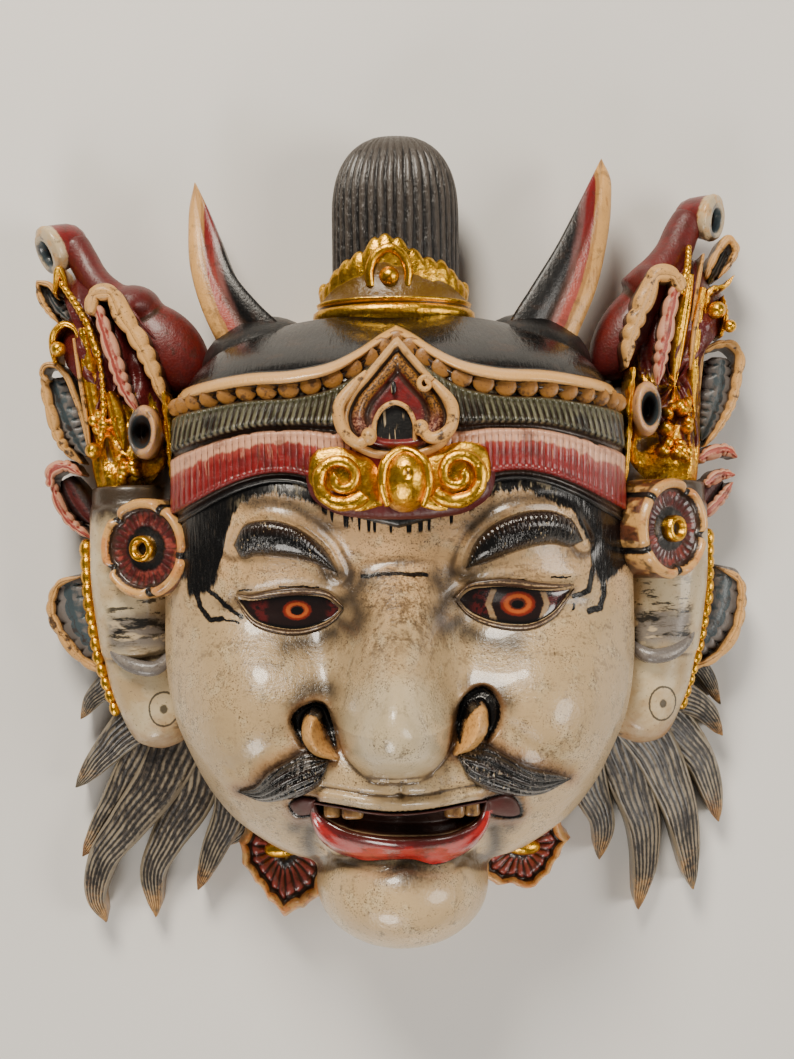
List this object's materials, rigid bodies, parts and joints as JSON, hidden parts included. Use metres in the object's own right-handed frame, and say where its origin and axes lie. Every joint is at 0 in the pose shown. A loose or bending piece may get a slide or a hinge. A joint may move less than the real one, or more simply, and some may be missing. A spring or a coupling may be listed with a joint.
{
  "type": "carved wooden mask",
  "caption": "Carved and painted wooden dance mask with a bulbous nose, headband, topknot, pointed ears, side ornaments and beard locks, hollow behind.",
  "frame": {"origin": "on the surface that the back rim lies on, below the middle of the bounding box", "axes": "+Y from the chin to the topknot, +Z out of the face, +X to the viewer's right"},
  "size_m": [0.27, 0.2936, 0.121],
  "materials": {
    "painted_wood": "aged ivory, red, black and gold paint under gloss varnish"
  },
  "bodies": {
    "root": {"mask": "painted_wood"}
  },
  "joints": []
}
